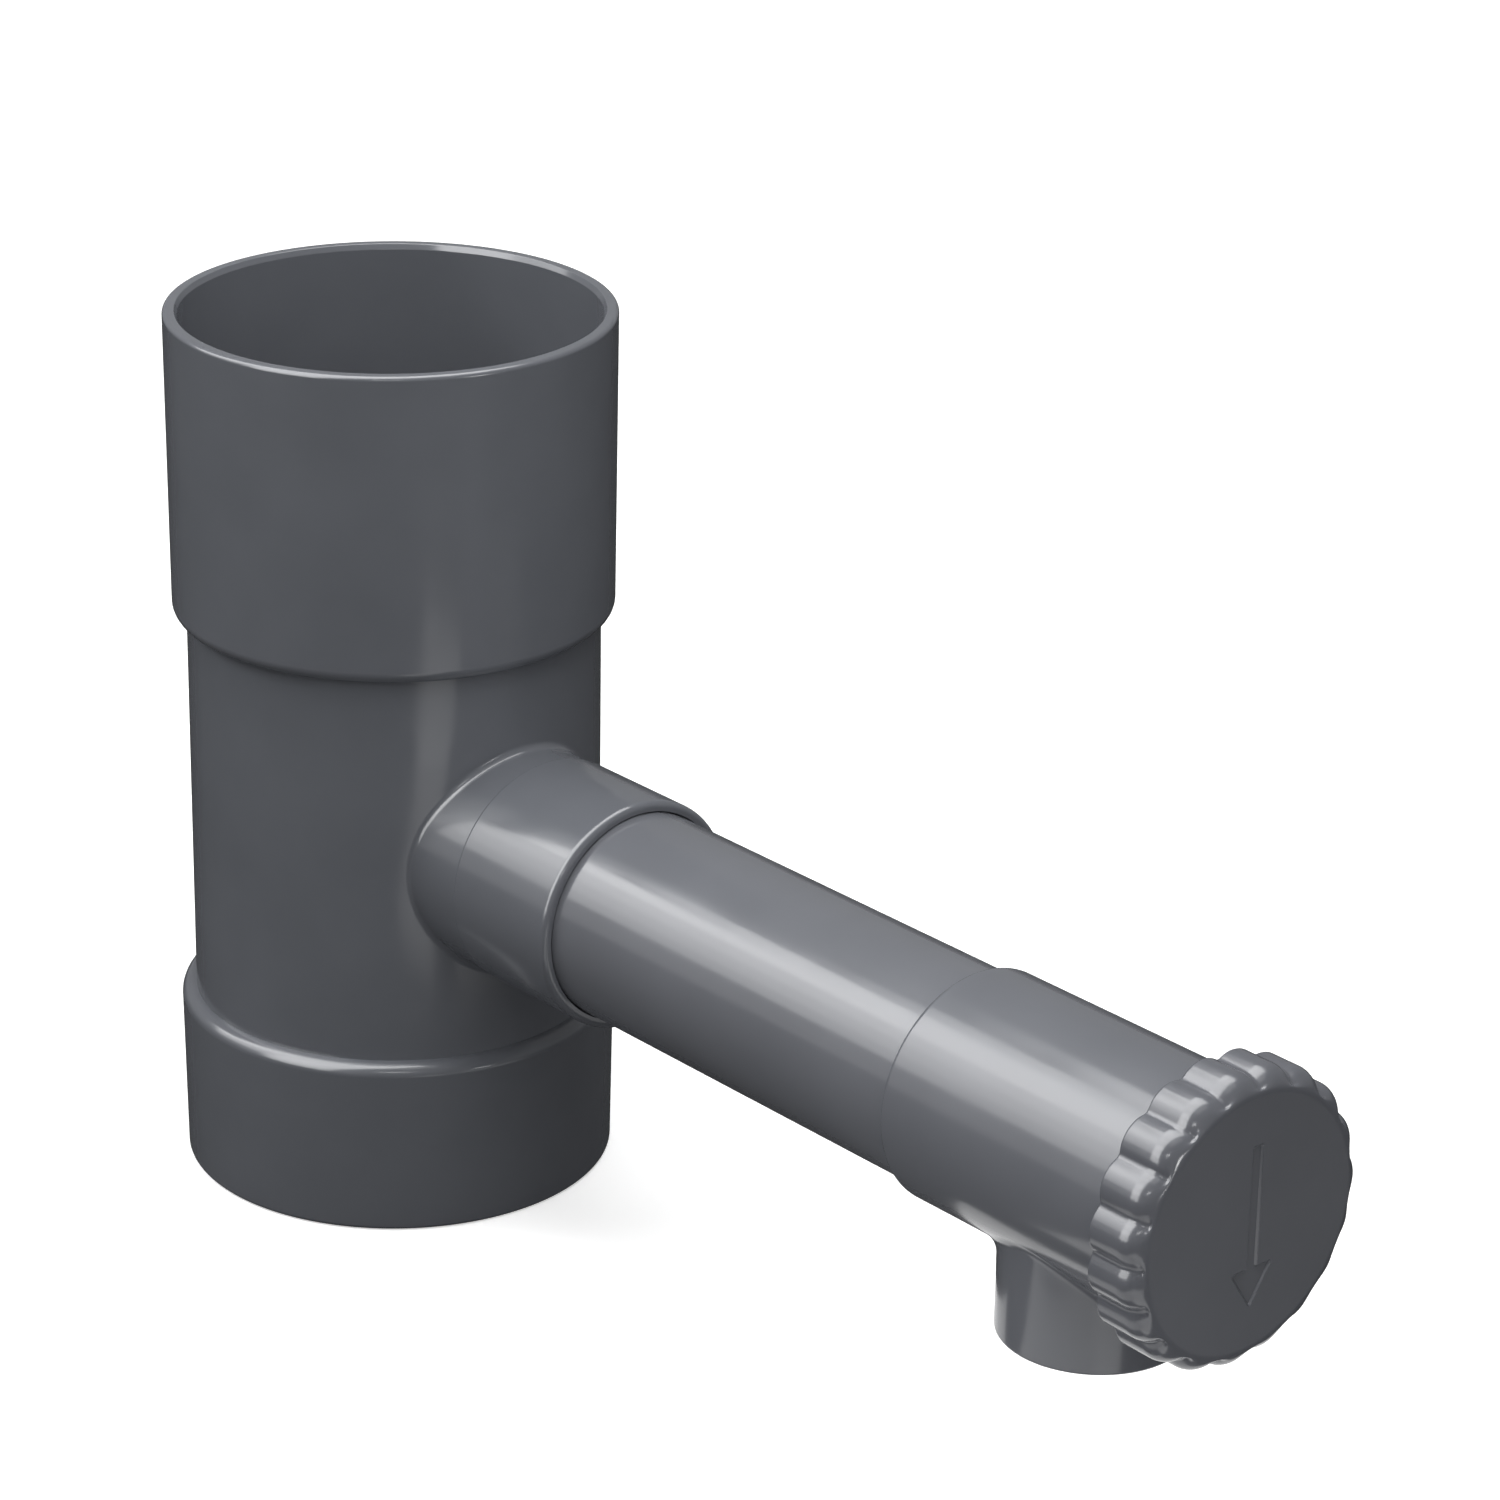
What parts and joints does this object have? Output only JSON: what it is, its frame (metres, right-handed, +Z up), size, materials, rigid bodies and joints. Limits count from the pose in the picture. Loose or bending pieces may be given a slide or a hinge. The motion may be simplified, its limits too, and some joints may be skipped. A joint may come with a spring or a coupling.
{
  "type": "rainwater diverter",
  "caption": "Downpipe rainwater diverter: tubular body with sockets at both ends, a catch ring inside, a side arm and a knob-turned outlet valve.",
  "frame": {"origin": "on the downpipe's axis at the lower mouth of the body", "axes": "+Z up along the downpipe's axis, +X along the side arm towards the knob, +Y to the far side"},
  "size_m": [0.3614, 0.1132, 0.2286],
  "materials": {
    "moulded_body": "satin",
    "pipe_plastic": "gloss",
    "tee_plastic": "gloss",
    "knob_plastic": "satin",
    "inner_plastic": "matte",
    "seal_rubber": "matte"
  },
  "bodies": {
    "housing": {"body": "moulded_body", "catch_ring": "inner_plastic", "catch_ring_seal": "seal_rubber", "arm_pipe": "pipe_plastic", "outlet_tee": "tee_plastic"},
    "valve": {"valve_sleeve": "inner_plastic", "rear_valve_seal": "seal_rubber", "front_valve_seal": "seal_rubber", "knob": "knob_plastic"}
  },
  "joints": [
    {"name": "valve_turn", "type": "hinge", "parent": "housing", "child": "valve", "pos_m": [0.2588, 0, 0.097], "axis": [1, 0, 0], "continuous": true}
  ]
}
